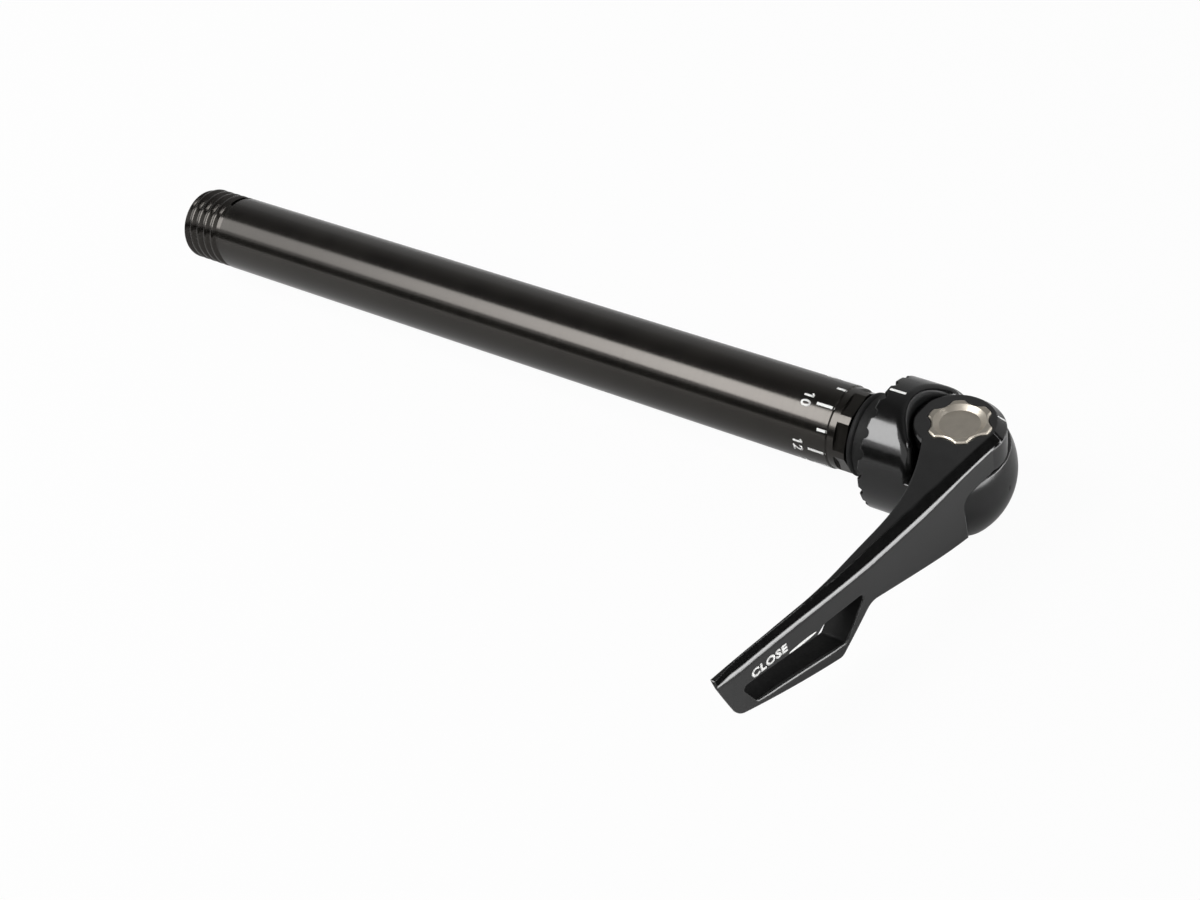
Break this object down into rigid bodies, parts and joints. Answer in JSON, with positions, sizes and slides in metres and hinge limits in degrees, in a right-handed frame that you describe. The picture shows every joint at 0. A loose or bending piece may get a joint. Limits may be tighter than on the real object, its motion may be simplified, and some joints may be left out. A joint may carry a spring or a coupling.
{
  "type": "bicycle_thru_axle",
  "caption": "Black bicycle thru axle: a hollow tube threaded at one end, with a cam head and a one-sided quick-release lever at the other.",
  "frame": {"origin": "On the axle's axis, at the middle of the tube, where the middle of the wheel's hub lies", "axes": "+X runs along the axle from the threaded end to the head; +Z is along the cam's cross shaft, towards the lever's ear; the closed lever lies along -Y"},
  "size_m": [0.1886, 0.0783, 0.0234],
  "materials": {
    "black_anodised": "black anodised, satin gloss",
    "gloss_black": "polished black anodised, gloss",
    "black_rubber": "smooth",
    "steel": "zinc plated",
    "satin_steel": "satin, warm grey",
    "bronze": "plain sintered bronze"
  },
  "bodies": {
    "axle": {"axle_tube": "black_anodised"},
    "spindle": {"index_spindle": "black_anodised", "collar_seal": "black_rubber", "clamp_bolt": "steel", "bolt_washer": "steel"},
    "housing": {"cam_housing": "gloss_black", "mouth_seal": "black_rubber", "upper_bush": "bronze", "lower_bush": "bronze", "shaft_washer": "steel"},
    "lever": {"lever": "gloss_black", "cam_shaft": "satin_steel", "retaining_ring": "steel"}
  },
  "joints": [
    {"name": "head_clocking", "type": "hinge", "parent": "axle", "child": "spindle", "pos_m": [0.079, 0, 0], "axis": [1, 0, 0], "continuous": true},
    {"name": "housing_slide", "type": "slide", "parent": "spindle", "child": "housing", "axis": [1, 0, 0], "range_m": [0, 0.0014]},
    {"name": "lever_swing", "type": "hinge", "parent": "housing", "child": "lever", "pos_m": [0.101, 0, 0], "axis": [0, 0, 1], "range_deg": [0, 150]}
  ],
  "couplings": [
    {"joint": "housing_slide", "follows": "lever_swing", "m_per_rad": 0.000534}
  ]
}
